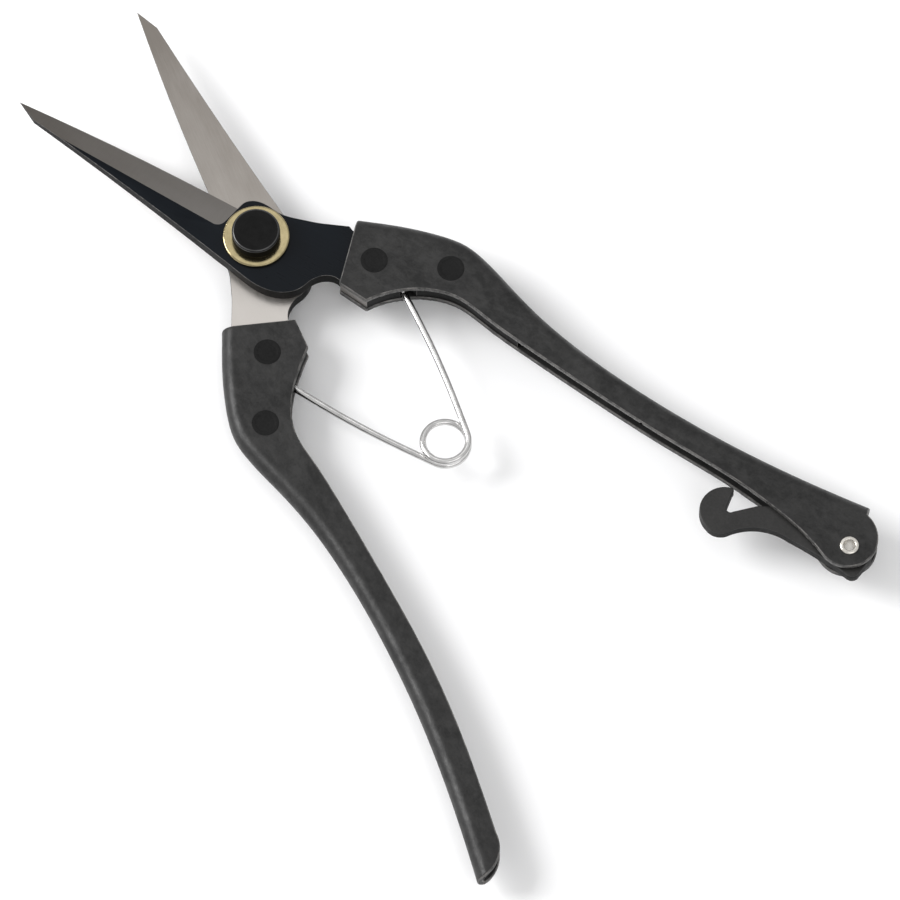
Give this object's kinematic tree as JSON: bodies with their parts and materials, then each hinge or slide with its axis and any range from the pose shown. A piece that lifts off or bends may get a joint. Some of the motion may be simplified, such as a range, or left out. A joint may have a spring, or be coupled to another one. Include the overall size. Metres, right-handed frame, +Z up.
{
  "type": "floral snips",
  "caption": "Spring-opened floral snips with straight pointed bypass blades, folded-sheet handles, a pivot bolt and a swinging hook latch.",
  "frame": {"origin": "on the pivot axis, at the flat end face of the pivot bolt under the snips", "axes": "+X from the pivot towards the blade tips, along the line that halves the open snips; +Z up along the pivot, from the nut to the bolt head"},
  "size_m": [0.1811, 0.1049, 0.0136],
  "materials": {
    "blade_steel": "satin stainless steel, ground bevel",
    "blade_black": "smooth black non-stick coating over steel, bare satin bevel",
    "handle_sheet": "satin charcoal coating on folded steel sheet",
    "rivet": "satin black",
    "bolt": "black oxide steel, smooth turned",
    "brass": "polished brass",
    "zinc": "zinc-plated steel",
    "nickel": "bright nickel plate",
    "spring_wire": "bright drawn spring wire",
    "latch_plate": "satin black coating on punched steel plate"
  },
  "bodies": {
    "latch_side": {"upper_blade": "blade_black", "latch_handle": "handle_sheet", "latch_handle_front_rivet": "rivet", "latch_handle_rear_rivet": "rivet", "pivot_bolt": "bolt", "brass_washer": "brass", "lower_washer": "zinc", "pivot_nut": "zinc", "latch_eyelet": "nickel"},
    "plain_side": {"lower_blade": "blade_steel", "plain_handle": "handle_sheet", "plain_handle_front_rivet": "rivet", "plain_handle_rear_rivet": "rivet"},
    "latch": {"latch": "latch_plate"},
    "spring_upper": {"spring_upper": "spring_wire"},
    "spring_lower": {"spring_lower": "spring_wire"}
  },
  "joints": [
    {"name": "blade_pivot", "type": "hinge", "parent": "latch_side", "child": "plain_side", "pos_m": [0, 0, 0.00711], "axis": [0, 0, 1], "range_deg": [0, 31.8], "stiffness_Nm_per_rad": 1.2},
    {"name": "latch_pivot", "type": "hinge", "parent": "latch_side", "child": "latch", "pos_m": [-0.12286, -0.0422, 0.00866], "axis": [0, 0, 1], "range_deg": [-12, 180]},
    {"name": "spring_seat_pivot", "type": "hinge", "parent": "latch_side", "child": "spring_upper", "pos_m": [-0.02613, -0.01448, 0.00711], "axis": [0, 0, 1], "range_deg": [0, 30.33]},
    {"name": "spring_coil_pivot", "type": "hinge", "parent": "spring_upper", "child": "spring_lower", "pos_m": [-0.05525, 0, 0.00711], "axis": [0, 0, 1], "range_deg": [-28.86, 0]}
  ],
  "couplings": [
    {"joint": "spring_seat_pivot", "follows": "blade_pivot", "ratio": 0.9537},
    {"joint": "spring_coil_pivot", "follows": "blade_pivot", "ratio": -0.9074}
  ]
}
